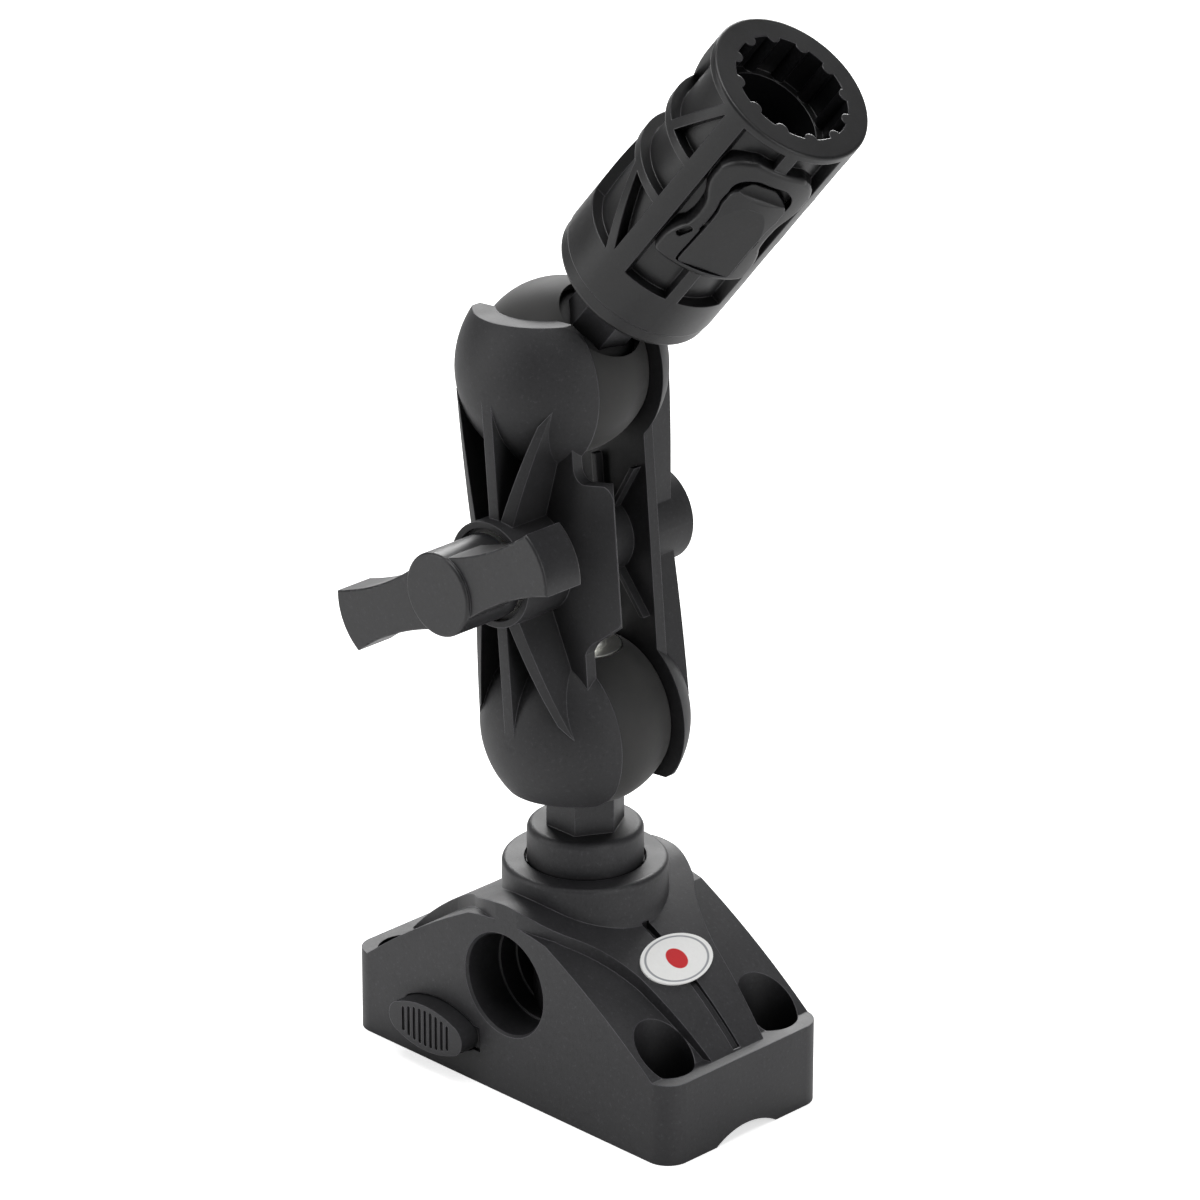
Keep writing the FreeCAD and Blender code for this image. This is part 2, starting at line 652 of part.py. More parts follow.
def make_arm_half(label, side, boss_radius, boss_top):
    """One clamp half. side is -1 for the knob side and +1 for the far side."""
    body = new_body(label, arm_place())
    gap, span, reach = size("RimGap"), size("ArmSpan"), size("CupRadius")
    outward = side > 0
    wing = -side
    middle = arm_middle()

    def face(distance):
        return new_sketch(body, "XZ_Plane", -side * distance)

    # ribs fan out from the boss; their crests lie on a round envelope and fade into the cups
    rib_high = "Sizes.CupRadius - Sizes.RimGap + 1"
    centre = face(gap)
    straight_rib(centre, 0, 0, span, size("RibThick"))
    pad(body, centre, rib_high, reverse=outward)
    # the ribs on the wing's side start close to the middle, the others further out
    roots = {wing: ((1.4, 11.0), (4.8, 10.0)), -wing: ((6.4, 5.0), (9.8, 5.0))}
    for across, root in roots.items():
        for away in (-1, 1):
            rib = face(gap)
            slanted_rib(rib, across, away, root)
            pad(body, rib, rib_high, reverse=outward)
    crown = new_sketch(body, "XZ_Plane")
    crest = size("RibCrest")
    outline(crown, (crest, -5), [(crest + 30, -5), (crest + 30, span + 5), (crest, span + 5)])
    groove(body, crown)
    plate = face(gap)
    arm_plate_outline(plate, wing)
    pad(body, plate, "Sizes.PlateThick", reverse=outward)
    bevel_wing(body, side, wing)

    boss = face(gap)
    circle(boss, 0, middle, boss_radius)
    pad(body, boss, f"{boss_top} - Sizes.RimGap", reverse=outward)

    # inner face: low thin ribs and a round boss that houses half of the clamp spring
    spine = face(gap)
    straight_rib(spine, 0, 24, span - 24, size("InnerRibThick"))
    pad(body, spine, "Sizes.InnerRibHigh", reverse=not outward)
    for across in (-1, 1):
        for away in (-1, 1):
            brace = face(gap)
            inner_brace(brace, across, away)
            pad(body, brace, "Sizes.InnerRibHigh", reverse=not outward)
    housing = face(gap)
    circle(housing, 0, middle, "Sizes.SpringBossRadius")
    pad(body, housing, "Sizes.RimGap - Sizes.SpringBossGap", reverse=not outward)
    spring_room = face(0)
    circle(spring_room, 0, middle, "Sizes.SpringBossBore")
    pocket(body, spring_room, "Sizes.RimGap", reverse=not outward)

    # spherical cups
    rim = math.sqrt(reach**2 - gap**2)
    half = math.radians((90 + math.degrees(math.asin(gap / reach))) / 2)
    bulge = (reach * math.cos(half), side * reach * math.sin(half))
    for height in (0, span):
        cup = new_sketch(body, "XY_Plane", height)
        outline(cup, (0, side * gap), [(rim, side * gap), (bulge, (0, side * reach))])
        revolve(body, cup)
    inner = size("BallRadius") + size("RunningGap")
    edge = inner / math.sqrt(2)
    for height in (0, span):
        hollow = new_sketch(body, "XY_Plane", height)
        outline(hollow, (0, 0), [(inner, 0), ((edge, side * edge), (0, side * inner))])
        groove(body, hollow)
    cut_cup_ends(body)
    return body


def cut_cup_ends(body):
    reach, span = size("CupReach"), size("ArmSpan")
    for base, sign in ((0, -1), (span, 1)):
        end = new_sketch(body, "XZ_Plane")
        line = base + sign * reach
        # flat in the middle, then two chamfers that meet the cup's rim
        half = [(reach, 0), (17.7, 1.6), (19.1, 3.2), (30, 15.6), (30, -20)]
        corners = [(x, line - sign * back) for x, back in half]
        outline(end, corners[0], corners[1:] + [mirror_x(c) for c in reversed(corners)])
        pocket(body, end, "80", midplane=True)


def make_arm_half_front():
    body = make_arm_half("arm_half_front", -1, "Sizes.FrontBossRadius", "Sizes.FrontBossTop")
    middle = arm_middle()
    seat = new_sketch(body, "XZ_Plane", size("FrontBossTop"))
    circle(seat, 0, middle, "Sizes.FrontBossRadius - 1.6")
    pocket(body, seat, "1.5")
    hole = new_sketch(body, "XZ_Plane", size("FrontBossTop"))
    circle(hole, 0, middle, "Sizes.BoltRadius + 0.1")
    pocket(body, hole, "30")
    return body


def make_arm_half_rear():
    body = make_arm_half("arm_half_rear", 1, "Sizes.RearBossRadius", "Sizes.RearBossTop")
    middle = arm_middle()
    hole = new_sketch(body, "XZ_Plane", -size("RearBossTop"))
    circle(hole, 0, middle, "Sizes.BoltRadius + 0.05")
    pocket(body, hole, "30", reverse=True)
    head = new_sketch(body, "XZ_Plane", -size("RearBossTop"))
    corners = [(x, z + middle) for x, z in hexagon(nut_corner() + 0.05)]
    outline(head, corners[0], corners[1:])
    pocket(body, head, "Sizes.BoltHeadHigh + 0.8", reverse=True)
    return body


def nut_corner():
    return size("BoltHeadFlat") / math.sqrt(3)


def clamp_axis_place(distance=0.0):
    """On the clamp axis, local z pointing to the knob side, at a distance from the mid-plane."""
    across = Placement(Vector(0, -distance, arm_middle()), Rotation(X_AXIS, 90))
    return arm_place().multiply(across)


def make_clamp_bolt():
    under_head = size("RearBossTop") - size("BoltHeadHigh") - 0.8
    body = new_body("clamp_bolt", clamp_axis_place(-under_head))
    head = new_sketch(body, "XY_Plane")
    corners = hexagon(nut_corner())
    outline(head, corners[0], corners[1:])
    pad(body, head, "Sizes.BoltHeadHigh", reverse=True)
    shank = new_sketch(body, "XY_Plane")
    circle(shank, 0, 0, "Sizes.BoltRadius")
    pad(body, shank, f"{under_head + size('KnobFace') - 4.5}")
    crown = new_sketch(body, "XZ_Plane")
    high = size("BoltHeadHigh")
    corner = nut_corner()
    outline(crown, (corner - 1.0, -high), [
        (corner + 1, -high + 1.1), (corner + 1, -high - 1), (corner - 1.0, -high - 1)])
    groove(body, crown)
    return body


def make_knob():
    turn = Placement(Vector(0, 0, arm_middle()), Rotation(Y_AXIS, -size("KnobTurn")))
    body = new_body("knob", arm_place().multiply(turn))
    long, tip, waist, root = (size(n) for n in ("WingLength", "WingTip", "WingWaist", "WingRoot"))
    wings = new_sketch(body, "XZ_Plane", size("WingFront"))
    inner, shoulder = 7.0, long - 1.9
    outline(wings, (-shoulder, -tip), [
        ((-20, -waist), (-inner, -root)), (inner, -root), ((20, -waist), (shoulder, -tip)),
        ((long, 0), (shoulder, tip)), ((20, waist), (inner, root)), (-inner, root),
        ((-20, waist), (-shoulder, tip)), ((-long, 0), (-shoulder, -tip)),
    ])
    pad(body, wings, "Sizes.WingFront - Sizes.WingBack", reverse=True)

    def across_the_faces(edge):
        heights = [vertex.Point.y for vertex in edge.Vertexes]
        return max(heights) - min(heights) < 0.01

    fillet_edges(body, across_the_faces, "Sizes.KnobRounding")
    hub_back = size("FrontBossTop") - 1.5 + 1.6 + size("RunningGap")
    hub = new_sketch(body, "XY_Plane")
    radius, face = size("KnobHubRadius"), size("KnobFace")
    outline(hub, (0, -hub_back), [
        (radius, -hub_back), (radius, -face + 0.7), ((radius - 0.2, -face + 0.2), (radius - 0.7, -face)),
        (0, -face),
    ])
    revolve(body, hub)
    nut = new_sketch(body, "XZ_Plane", hub_back)
    corners = hexagon(nut_corner() + 0.05)
    outline(nut, corners[0], corners[1:])
    pocket(body, nut, "7", reverse=True)
    bore = new_sketch(body, "XZ_Plane", hub_back)
    circle(bore, 0, 0, "Sizes.BoltRadius + 0.3")
    pocket(body, bore, f"{face - 3.0 - hub_back}", reverse=True)
    return body


def make_knob_insert():
    hub_back = size("FrontBossTop") + 0.1 + size("RunningGap")
    turn = Placement(Vector(0, 0, arm_middle()), Rotation(Y_AXIS, -size("KnobTurn")))
    body = new_body("knob_insert", arm_place().multiply(turn))
    nut = new_sketch(body, "XZ_Plane", hub_back + 0.2)
    corners = hexagon(nut_corner())
    outline(nut, corners[0], corners[1:])
    pad(body, nut, "6.5")
    bore = new_sketch(body, "XZ_Plane", hub_back)
    circle(bore, 0, 0, "Sizes.BoltRadius + Sizes.RunningGap")
    pocket(body, bore, "9", reverse=True)
    return body


def make_knob_washer():
    disc = primitive("Cylinder", Radius="Sizes.WasherRadius + 1.5", Height="1.6")
    hole = primitive("Cylinder", local(0, 0, -1), Radius="Sizes.BoltRadius + 0.2", Height="9")
    return finish_piece(cut_all(disc, [hole]), "knob_washer",
                        clamp_axis_place(size("FrontBossTop") - 1.5))


def coil(radius, wire, turns, length):
    """Open coil spring along z, from 0 to length over the wire."""
    run = length - 2 * wire
    helix = Part.makeHelix(run / turns, run, radius)
    section = Part.Wire(Part.makeCircle(wire, Vector(radius, 0, 0), Y_AXIS))
    return Part.Wire(helix).makePipeShell([section], True, True)


def make_spring(label, radius, wire, turns, length, place):
    spring = doc.addObject("Part::Feature", label)
    spring.Shape = coil(radius, wire, turns, length)
    return finish_piece(spring, label, place.multiply(local(0, 0, wire)))


# ---------------------------------------------------------------- receiver tube


def round_the_tube(angle):
    return Placement(Vector(), Rotation(Z_AXIS, angle))


def latch_plane():
    """Local x runs round the tube, local y along it, local z out through the latch."""
    return Placement(Vector(0, 0, 0), Rotation(Y_AXIS, Z_AXIS, X_AXIS, "XYZ"))


def mirrored_outline(right):
    """Closed outline from its right half, given bottom to top as in outline()."""
    start = mirror_x(right[0])
    steps = list(right)
    for i in range(len(right) - 1, 0, -1):
        before = right[i - 1]
        end = mirror_x(before[1] if isinstance(before[0], tuple) else before)
        through = right[i][0] if isinstance(right[i][0], tuple) else None
        if i == len(right) - 1:
            last = right[i][1] if through else right[i]
            steps.append(mirror_x(last))
        steps.append((mirror_x(through), end) if through else end)
    return start, steps


def frame_outline():
    """The raised frame round the latch: square lower lobe, waist and round upper lobe."""
    low, top = 60.2, 97.2
    return mirrored_outline([
        (9.8, low), ((11.0, low + 0.5), (11.5, low + 1.7)), (11.5, 64.5),
        ((10.8, 68.5), (9.4, 71.6)), ((8.9, 75.0), (9.0, 78.0)), ((9.3, 80.2), (10.0, 82.0)),
        ((11.0, 84.5), (11.4, 87.0)), (11.4, 90.5), ((10.2, 93.3), (7.0, top - 0.9)),
        ((6.0, top - 0.2), (4.9, top)),
    ])


def latch_outline(margin, shoulder, top):
    """The latch seen from outside: square foot, weak waist, and a top arched above its shoulder."""
    low = 62.3 - margin
    foot, waist, upper = 6.6 + margin, 6.35 + margin, 7.0 + margin
    arched = top - shoulder
    return mirrored_outline([
        (foot - 0.8, low), ((foot - 0.2, low + 0.2), (foot, low + 0.8)), (foot, 65.0),
        ((waist, 73.0), (waist + 0.1, 80.0)), (upper, 83.0), (upper - 0.1, shoulder),
        ((upper - 0.7, shoulder + 0.56 * arched), (upper - 2.8, top - 0.12 * arched)),
        ((upper - 3.8, top - 0.03 * arched), (2.0, top)),
    ])


def rib_box(angle, height_from, height_to, width, lean=0.0):
    """A bar lying on the tube at an angle round it, leaned in the tangent plane."""
    middle = (height_from + height_to) / 2
    long = (height_to - height_from) / math.cos(math.radians(lean))
    bar = primitive("Box", Width=f"{width}", Height=f"{long}", Length="Sizes.TubeRadius")
    place = round_the_tube(angle).multiply(local(0, 0, middle))
    place = place.multiply(Placement(Vector(), Rotation(X_AXIS, lean)))
    bar.Placement = place.multiply(local(3, -width / 2, -long / 2))
    return bar


def rounded_crest(block, radius, rounding):
    """Rounds the edges of a block that lie on a cylinder round the z axis."""
    doc.recompute()
    chosen = []
    for i, edge in enumerate(block.Shape.Edges, start=1):
        reach = [math.hypot(point.x, point.y) for point in edge.discretize(5)]
        if max(abs(r - radius) for r in reach) < 0.001:
            chosen.append((i, rounding, rounding))
    made = doc.addObject("Part::Fillet", "rounded_crest")
    made.Base = block
    made.Edges = chosen
    return made


def make_head_tube():
    core_low, band_top, flange = size("RingTop"), size("BandTop"), size("FlangeLow")
    core = primitive("Cylinder", local(0, 0, core_low), Radius="Sizes.TubeCore",
                     Height="Sizes.TubeTop - Sizes.RingTop")
    band = primitive("Cylinder", local(0, 0, core_low), Radius="Sizes.TubeRadius",
                     Height="Sizes.BandTop - Sizes.RingTop")
    rim_disc = primitive("Cylinder", local(0, 0, flange), Radius="Sizes.TubeRadius",
                         Height="Sizes.TubeTop - Sizes.FlangeLow")
    rim = rounded_crest(rim_disc, size("TubeRadius"), 0.7)
    ribs = [rib_box(angle, band_top - 2, flange + 1, size("BandWide")) for angle in (-46, 46, 180)]
    ribs += [rib_box(-1.5, 96, flange + 1, 3.0), rib_box(-1.5, band_top - 1, 62, 3.0)]
    for height in (82.3, 68.7):
        ring = primitive("Cylinder", round_the_tube(46).multiply(local(0, 0, height)),
                         Radius="Sizes.TubeRadius", Height="Sizes.RibWide", Angle="268")
        ribs.append(ring)
    for side in (-1, 1):
        ribs.append(rib_box(side * 69, 83, 103, size("RibWide"), side * 27))
        ribs.append(rib_box(side * 69, 48, 70, size("RibWide"), -side * 27))
        ribs.append(rib_box(side * 131, 83, 103, size("RibWide"), side * 27))
        ribs.append(rib_box(side * 131, 48, 70, size("RibWide"), -side * 27))
    ribbing = combine("Common", fuse_all(ribs), primitive(
        "Cylinder", local(0, 0, core_low), Radius="Sizes.TubeRadius",
        Height="Sizes.TubeTop - Sizes.RingTop"))
    frame_block = extruded("latch_frame_block", latch_plane(), *frame_outline(), 13, 22)
    envelope = primitive("Cylinder", local(0, 0, core_low), Radius="Sizes.FrameRadius",
                         Height="Sizes.TubeTop - Sizes.RingTop")
    frame = rounded_crest(combine("Common", frame_block, envelope), size("FrameRadius"), 1.2)
    outside = fuse_all([core, band, rim, ribbing, frame])
    tube = cut_all(outside, tube_cutters())
    return finish_piece(tube, "head_tube", head_place())


def tube_cutters():
    top = size("TubeTop")
    lobed = doc.addObject("Sketcher::SketchObject", "splined_mouth")
    spline_outline(lobed)
    half_pitch = 180 / size("SplineCount")
    lobed.Placement = local(0, 0, size("SplineEnd"), Rotation(Z_AXIS, half_pitch))
    mouth = doc.addObject("Part::Extrusion", "splined_mouth_cut")
    mouth.Base = lobed
    mouth.DirMode = "Normal"
    mouth.LengthFwd = top - size("SplineEnd") + 1
    mouth.Solid = True
    bore = primitive("Cylinder", local(0, 0, size("SocketBottom")),
                     Radius="Sizes.ShaftRadius + 0.1", Height="Sizes.SplineEnd")
    foot = primitive("Cylinder", local(0, 0, size("RingTop") - 1), Radius="15", Height="9")
    screw = primitive("Cylinder", local(0, 0, 40), Radius="Sizes.ScrewRadius + 0.3", Height="20")
    room = size("ScrewHeadRoom")
    screw_head = primitive("Cylinder", local(0, 0, size("SocketBottom") - room),
                           Radius="Sizes.ScrewHeadRadius + 0.4", Height="Sizes.ScrewHeadRoom + 1")
    bed = extruded("latch_bed", latch_plane(), *latch_outline(size("LeverGap"), 86.5, 93.1),
                   size("TubeCore"), 30)
    window = primitive("Box", local(9, -3.3, size("ToothBottom") - 0.8), Length="12",
                       Width="6.6", Height="Sizes.ToothHigh + 1.8")
    pin = pivot_cylinder("Sizes.PinRadius + 0.01", 16.4)
    hub_room = pivot_cylinder("Sizes.HubRadius + Sizes.LeverGap", 14.0)
    spring = primitive("Cylinder", latch_spring_place(), Radius="2.3", Height="8")
    dimple_place = round_the_tube(-26).multiply(latch_plane()).multiply(
        local(0, 70, 0, Rotation(Z_AXIS, -24)))
    dimple = extruded("dimple", dimple_place, (-0.8, -1.5), [
        ((0, -2.3), (0.8, -1.5)), (0.8, 1.5), ((0, 2.3), (-0.8, 1.5))],
        size("TubeRadius") - 0.7, size("TubeRadius") + 5)
    return [mouth, bore, foot, screw, screw_head, bed, window, pin, hub_room, spring, dimple]


def pivot_cylinder(radius, long):
    """A cylinder on the latch's rocking axis, centred on the lever."""
    start = Vector(size("PivotRadius"), -long / 2, size("PivotHeight"))
    return primitive("Cylinder", Placement(start, Rotation(X_AXIS, -90)), Radius=radius,
                     Height=f"{long}")


def latch_spring_place():
    """Floor of the latch spring's hole, local z pointing out of the tube."""
    return Placement(Vector(14.2, 0, size("SpringHeight")), Rotation(Y_AXIS, 90))


def make_head_end_ring():
    body = new_body("head_end_ring", head_place())
    low, top = size("RingBottom"), size("RingTop")
    radius, hole = size("TubeRadius") - 0.3, size("UpperNeckRadius") + 0.3
    profile = new_sketch(body, "XZ_Plane")
    outline(profile, (hole, low), [
        (radius - 1.6, low), ((radius - 0.4, low + 0.5), (radius, low + 1.8)), (radius, top),
        (hole, top),
    ])
    revolve(body, profile)
    return body


def make_upper_post():
    body = new_body("upper_post", head_place())
    neck = new_sketch(body, "XY_Plane", -5)
    corners = hexagon(size("UpperNeckRadius"))
    outline(neck, corners[0], corners[1:])
    pad(body, neck, "Sizes.RingTop + 7")
    flange = new_sketch(body, "XY_Plane", size("RingTop") + 0.05)
    circle(flange, 0, 0, "14.9")
    pad(body, flange, "7.9")
    for height, depth, reverse in ((-5, 24, True), (size("RingTop") + 7.95, 14, False)):
        hole = new_sketch(body, "XY_Plane", height)
        circle(hole, 0, 0, "Sizes.ScrewRadius")
        pocket(body, hole, f"{depth}", reverse=reverse)
    return body


def make_latch_lever():
    inside, top = size("TubeCore") + 0.85, 90.0
    plate = extruded("lever_plate", latch_plane(), *latch_outline(0, 85.0, top), 15, 24)
    # side profile, drawn with x out from the tube and y along it: thick below its steep end wall
    profile = doc.addObject("Sketcher::SketchObject", "lever_profile")
    outline(profile, (inside, 60), [
        (20.3, 60), ((20.4, 74.0), (21.4, 85.0)), ((21.4, 87.6), (20.9, 88.3)),
        ((19.6, 89.0), (inside + 0.3, top)), (inside, top),
    ])
    profile.Placement = Placement(Vector(0, 8, 0), Rotation(X_AXIS, 90))
    side = doc.addObject("Part::Extrusion", "lever_side")
    side.Base = profile
    side.DirMode = "Normal"
    side.LengthFwd = 16
    side.Solid = True
    envelope = primitive("Cylinder", local(0, 0, 55), Radius="Sizes.FrameRadius + 0.7",
                         Height="40")
    shaped = combine("Common", combine("Common", plate, side), envelope)
    tooth = primitive("Box", local(13.0, -2.8, size("ToothBottom")), Length="6", Width="5.6",
                      Height="Sizes.ToothHigh")
    hub = pivot_cylinder("Sizes.HubRadius", 12.4)
    pin = pivot_cylinder("Sizes.PinRadius + Sizes.RunningGap", 18.0)
    spring_room = primitive("Cylinder", latch_spring_place(), Radius="2.3", Height="5.2")
    lever = cut_all(fuse_all([shaped, tooth, hub]), [pin, spring_room])
    return finish_piece(lever, "latch_lever", head_place())


def make_latch_pin():
    long = 16.0
    start = Vector(size("PivotRadius"), -long / 2, size("PivotHeight"))
    pin = primitive("Cylinder", Radius="Sizes.PinRadius", Height=f"{long}")
    across = Placement(start, Rotation(X_AXIS, -90))
    return finish_piece(pin, "latch_pin", head_place().multiply(across))


def make_latch_spring():
    seat = head_place().multiply(latch_spring_place()).multiply(local(0, 0, 0.1))
    return make_spring("latch_spring", 1.6, 0.3, 4, 4.4, seat)


# ---------------------------------------------------------------- the whole object


def build():
    base_ball = local(0, 0, size("BallHeight"))
    make_base_bracket()
    make_badge()
    make_lock_slide()
    make_lower_post()
    make_ball_stack("lower", base_ball, size("NeckRadius"))
    make_arm_half_front()
    make_arm_half_rear()
    make_clamp_bolt()
    make_spring("clamp_spring", 6.3, 0.8, 5, 2 * size("RimGap") - 0.2,
                clamp_axis_place(-size("RimGap") + 0.1))
    make_knob()
    make_knob_insert()
    make_knob_washer()
    # the upper ball's neck points up the tube, so its washer side points down
    upside_down = head_place().multiply(Placement(Vector(), Rotation(X_AXIS, 180)))
    make_ball_stack("upper", upside_down, size("UpperNeckRadius"))
    make_upper_post()
    make_head_tube()
    make_head_end_ring()
    under_head = local(0, 0, size("SocketBottom") - size("ScrewHeadRoom"))
    pan_head_screw("head_screw", head_place().multiply(under_head), 17)
    make_latch_lever()
    make_latch_pin()
    make_latch_spring()


def check_and_export():
    doc.recompute()
    for obj in doc.Objects:
        if "Invalid" in obj.State or "Error" in obj.State:
            raise RuntimeError(f"{obj.Label} failed: {obj.State}")
    for piece in pieces:
        if piece.Shape.isNull() or not piece.Shape.isValid():
            raise RuntimeError(f"{piece.Label} has no valid shape")
    os.makedirs("parts", exist_ok=True)
    for piece in pieces:
        piece.Shape.exportStep(f"parts/{piece.Label}.step")


build()
check_and_export()
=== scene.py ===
import json
import math

import bpy
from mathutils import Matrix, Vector


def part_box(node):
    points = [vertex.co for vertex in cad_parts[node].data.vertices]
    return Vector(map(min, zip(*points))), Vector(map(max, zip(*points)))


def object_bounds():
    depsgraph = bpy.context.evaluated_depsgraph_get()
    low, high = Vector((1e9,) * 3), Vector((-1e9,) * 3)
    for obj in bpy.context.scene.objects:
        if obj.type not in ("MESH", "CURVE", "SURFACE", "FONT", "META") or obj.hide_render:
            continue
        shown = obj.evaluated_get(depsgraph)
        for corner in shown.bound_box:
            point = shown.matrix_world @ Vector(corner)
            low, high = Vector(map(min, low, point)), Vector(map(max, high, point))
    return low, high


# Looks for the articulated rod holder: softened edges, moulded-plastic, rubber and metal finishes,
# a pale studio and the camera. Everything is in metres, in the frame of the CAD model.

MM = 0.001

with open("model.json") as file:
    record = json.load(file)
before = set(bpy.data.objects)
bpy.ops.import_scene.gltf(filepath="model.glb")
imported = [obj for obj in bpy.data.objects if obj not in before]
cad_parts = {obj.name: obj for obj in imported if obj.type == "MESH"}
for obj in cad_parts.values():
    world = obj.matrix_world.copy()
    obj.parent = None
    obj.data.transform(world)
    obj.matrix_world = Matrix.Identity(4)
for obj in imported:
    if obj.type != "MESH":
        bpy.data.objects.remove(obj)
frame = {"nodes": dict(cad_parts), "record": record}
nodes = frame["nodes"]
cad_low, cad_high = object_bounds()

scene = bpy.context.scene
scene.view_settings.view_transform = "Standard"

# ---------------------------------------------------------------- shader node helpers


class Shader:
    """A small builder round one material's node tree."""

    def __init__(self, name):
        self.material = bpy.data.materials.new(name)
        self.material.use_nodes = True
        self.tree = self.material.node_tree
        self.principled = self.tree.nodes["Principled BSDF"]
        self.place = self.add("ShaderNodeTexCoord").outputs["Object"]

    def add(self, kind, **settings):
        node = self.tree.nodes.new(kind)
        for name, value in settings.items():
            setattr(node, name, value)
        return node

    def join(self, source, target):
        self.tree.links.new(source, target)

    def put(self, target, value):
        """Sets a socket to a number or colour, or links it to another socket."""
        if isinstance(value, bpy.types.NodeSocket):
            self.join(value, target)
        else:
            target.default_value = value

    def noise(self, scale, detail=3.0, roughness=0.55, place=None):
        node = self.add("ShaderNodeTexNoise")
        self.put(node.inputs["Vector"], place or self.place)
        node.inputs["Scale"].default_value = scale
        node.inputs["Detail"].default_value = detail
        node.inputs["Roughness"].default_value = roughness
        return node.outputs["Fac"]

    def stretched(self, along_x, along_y, along_z):
        node = self.add("ShaderNodeMapping")
        self.join(self.place, node.inputs["Vector"])
        node.inputs["Scale"].default_value = (along_x, along_y, along_z)
        return node.outputs["Vector"]

    def math(self, operation, first, second=0.0, third=0.0):
        node = self.add("ShaderNodeMath", operation=operation)
        for socket, value in zip(node.inputs, (first, second, third)):
            self.put(socket, value)
        return node.outputs[0]

    def remap(self, value, low, high, to_low=0.0, to_high=1.0):
        node = self.add("ShaderNodeMapRange")
        for name, number in (("Value", value), ("From Min", low), ("From Max", high),
                             ("To Min", to_low), ("To Max", to_high)):
            self.put(node.inputs[name], number)
        return node.outputs["Result"]

    def mix(self, share, first, second):
        node = self.add("ShaderNodeMix", data_type="RGBA")
        self.put(node.inputs["Factor"], share)
        self.put(node.inputs["A"], first)
        self.put(node.inputs["B"], second)
        return node.outputs["Result"]

    def rounded(self, radius):
        """Normals rounded over every edge, and a mask that is 1 on edges and 0 on open faces."""
        rounded = self.add("ShaderNodeBevel", samples=8)
        rounded.inputs["Radius"].default_value = radius
        plain = self.add("ShaderNodeNewGeometry").outputs["Normal"]
        dot = self.add("ShaderNodeVectorMath", operation="DOT_PRODUCT")
        self.join(rounded.outputs["Normal"], dot.inputs[0])
        self.join(plain, dot.inputs[1])
        return rounded.outputs["Normal"], self.remap(dot.outputs["Value"], 0.995, 0.85)

    def openness(self, reach):
        """1 on open faces, falling towards 0 in hollows narrower than the reach."""
        node = self.add("ShaderNodeAmbientOcclusion", samples=6)
        node.inputs["Distance"].default_value = reach
        return node.outputs["AO"]

    def bump(self, height, strength, distance, below=None):
        node = self.add("ShaderNodeBump")
        node.inputs["Strength"].default_value = strength
        node.inputs["Distance"].default_value = distance
        self.join(height, node.inputs["Height"])
        if below:
            self.join(below, node.inputs["Normal"])
        return node.outputs["Normal"]

    def finish(self, **inputs):
        for name, value in inputs.items():
            self.put(self.principled.inputs[name.replace("_", " ")], value)
        return self.material


def grey(value, warmth=0.0):
    return (value * (1 + warmth), value, value * (1 - warmth), 1.0)


def cool_grey(value):
    return (value, value * 0.985, value * 1.1, 1.0)


# ---------------------------------------------------------------- materials

EDGE_RADIUS = 0.4 * MM
# reach of the ambient occlusion that paints shade into hollows
PAINTED_SHADE_REACH = 22 * MM


def moulded_plastic(name, tone, roughness, grain_size, grain_depth, mottling, painted_edge_highlight):
    """Filled nylon: fine spark-eroded grain, faint mottling, slightly polished edges, and a painted
    highlight that lightens the colour along edges.
    """
    shader = Shader(name)
    mottle = shader.noise(90.0, 4.0)
    speck = shader.noise(1 / (0.9 * MM), 3.0, 0.7)
    base = shader.mix(shader.remap(mottle, 0.3, 0.7), cool_grey(tone * (1 - mottling)),
                      cool_grey(tone * (1 + mottling)))
    base = shader.mix(shader.remap(speck, 0.58, 0.72, 0.0, 0.6), base, cool_grey(tone * 2.6))
    base = shader.mix(shader.remap(speck, 0.44, 0.34, 0.0, 0.5), base, cool_grey(tone * 0.4))
    # edge mask: it lowers the roughness of polished edges and drives a painted highlight in the colour
    round_edges, wear_and_highlight_edges = shader.rounded(EDGE_RADIUS)
    patchy_highlight = shader.math("MULTIPLY", wear_and_highlight_edges, shader.remap(mottle, 0.35, 0.6, 0.35, 1.0))
    # painted highlight: the colour along edges is lightened, patchily, towards nine times the tone
    colour = shader.mix(shader.math("MULTIPLY", patchy_highlight, painted_edge_highlight), base, cool_grey(tone * 9.0))
    # deep hollows hold no dust or wear and look blacker
    # painted shade: the colour in deep hollows and gaps between parts is darkened towards black, by
    # ambient occlusion
    free_of_painted_shade = shader.remap(shader.openness(PAINTED_SHADE_REACH), 0.2, 0.7)
    colour = shader.mix(free_of_painted_shade, cool_grey(tone * 0.12), colour)
    rough = shader.remap(mottle, 0.25, 0.75, roughness - 0.05, roughness + 0.06)
    rough = shader.math("SUBTRACT", rough, shader.math("MULTIPLY", wear_and_highlight_edges, 0.1))
    grain = shader.noise(1 / grain_size, 2.0, 0.6)
    waviness = shader.noise(55.0, 2.0, 0.5)
    wavy = shader.bump(waviness, 0.12, 0.6 * MM, round_edges)
    normal = shader.bump(grain, 0.55, grain_depth, wavy)
    return shader.finish(Base_Color=colour, Roughness=rough, Normal=normal, IOR=1.5,
                         Specular_IOR_Level=0.5)


